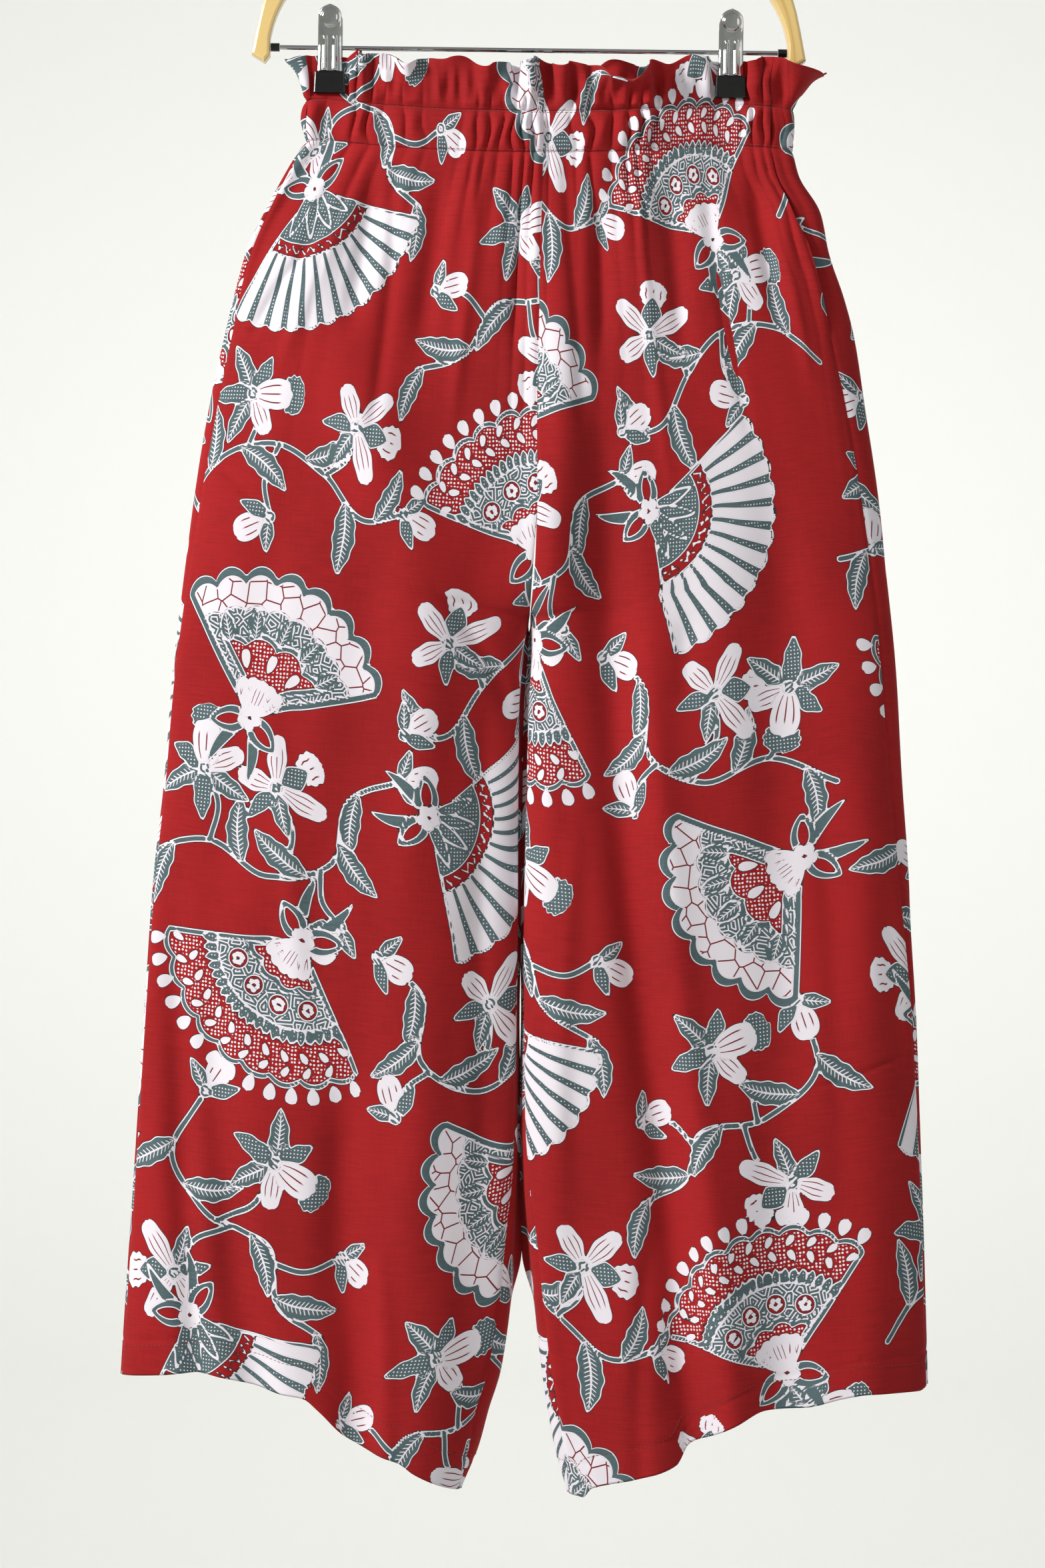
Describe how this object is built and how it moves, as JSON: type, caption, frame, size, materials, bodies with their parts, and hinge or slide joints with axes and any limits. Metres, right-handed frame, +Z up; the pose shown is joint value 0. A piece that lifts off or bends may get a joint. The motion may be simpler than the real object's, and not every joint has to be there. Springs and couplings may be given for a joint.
{
  "type": "lounge pants on a clip hanger",
  "caption": "Wide-leg printed cotton lounge pants with an elastic paper-bag waist and in-seam pockets, hung by two clips from a wooden hanger.",
  "frame": {"origin": "where the hanger's hook rests on its rail, at the inner top of the hook", "axes": "+Z up along the height, -Y is the front of the pants, +X is the wearer's left"},
  "size_m": [0.5565, 0.0776, 1.1904],
  "materials": {
    "printed_cotton": "plain-woven cotton, deep red ground with a slate grey-green and white printed pattern, soft matt",
    "varnished_wood": "pale yellow wood under clear varnish",
    "chrome": "bright chrome-plated steel",
    "black_rubber": "black moulded rubber, slight gloss"
  },
  "bodies": {
    "root": {"front_leg_right": "printed_cotton", "front_leg_left": "printed_cotton", "back_leg_right": "printed_cotton", "back_leg_left": "printed_cotton", "pocket_bag_right": "printed_cotton", "pocket_bag_left": "printed_cotton", "casing_front": "printed_cotton", "casing_back": "printed_cotton", "frill_front": "printed_cotton", "frill_back": "printed_cotton", "hanger_arms": "varnished_wood", "hanger_hook": "chrome", "hanger_ferrule": "chrome", "hanger_rod": "chrome", "rod_cap_right": "black_rubber", "rod_cap_left": "black_rubber", "clip_right_side_front_jaw": "chrome", "clip_right_side_front_pad": "black_rubber", "clip_right_side_back_jaw": "chrome", "clip_right_side_back_pad": "black_rubber", "clip_right_side_spring": "chrome", "clip_left_side_front_jaw": "chrome", "clip_left_side_front_pad": "black_rubber", "clip_left_side_back_jaw": "chrome", "clip_left_side_back_pad": "black_rubber", "clip_left_side_spring": "chrome"}
  },
  "joints": []
}
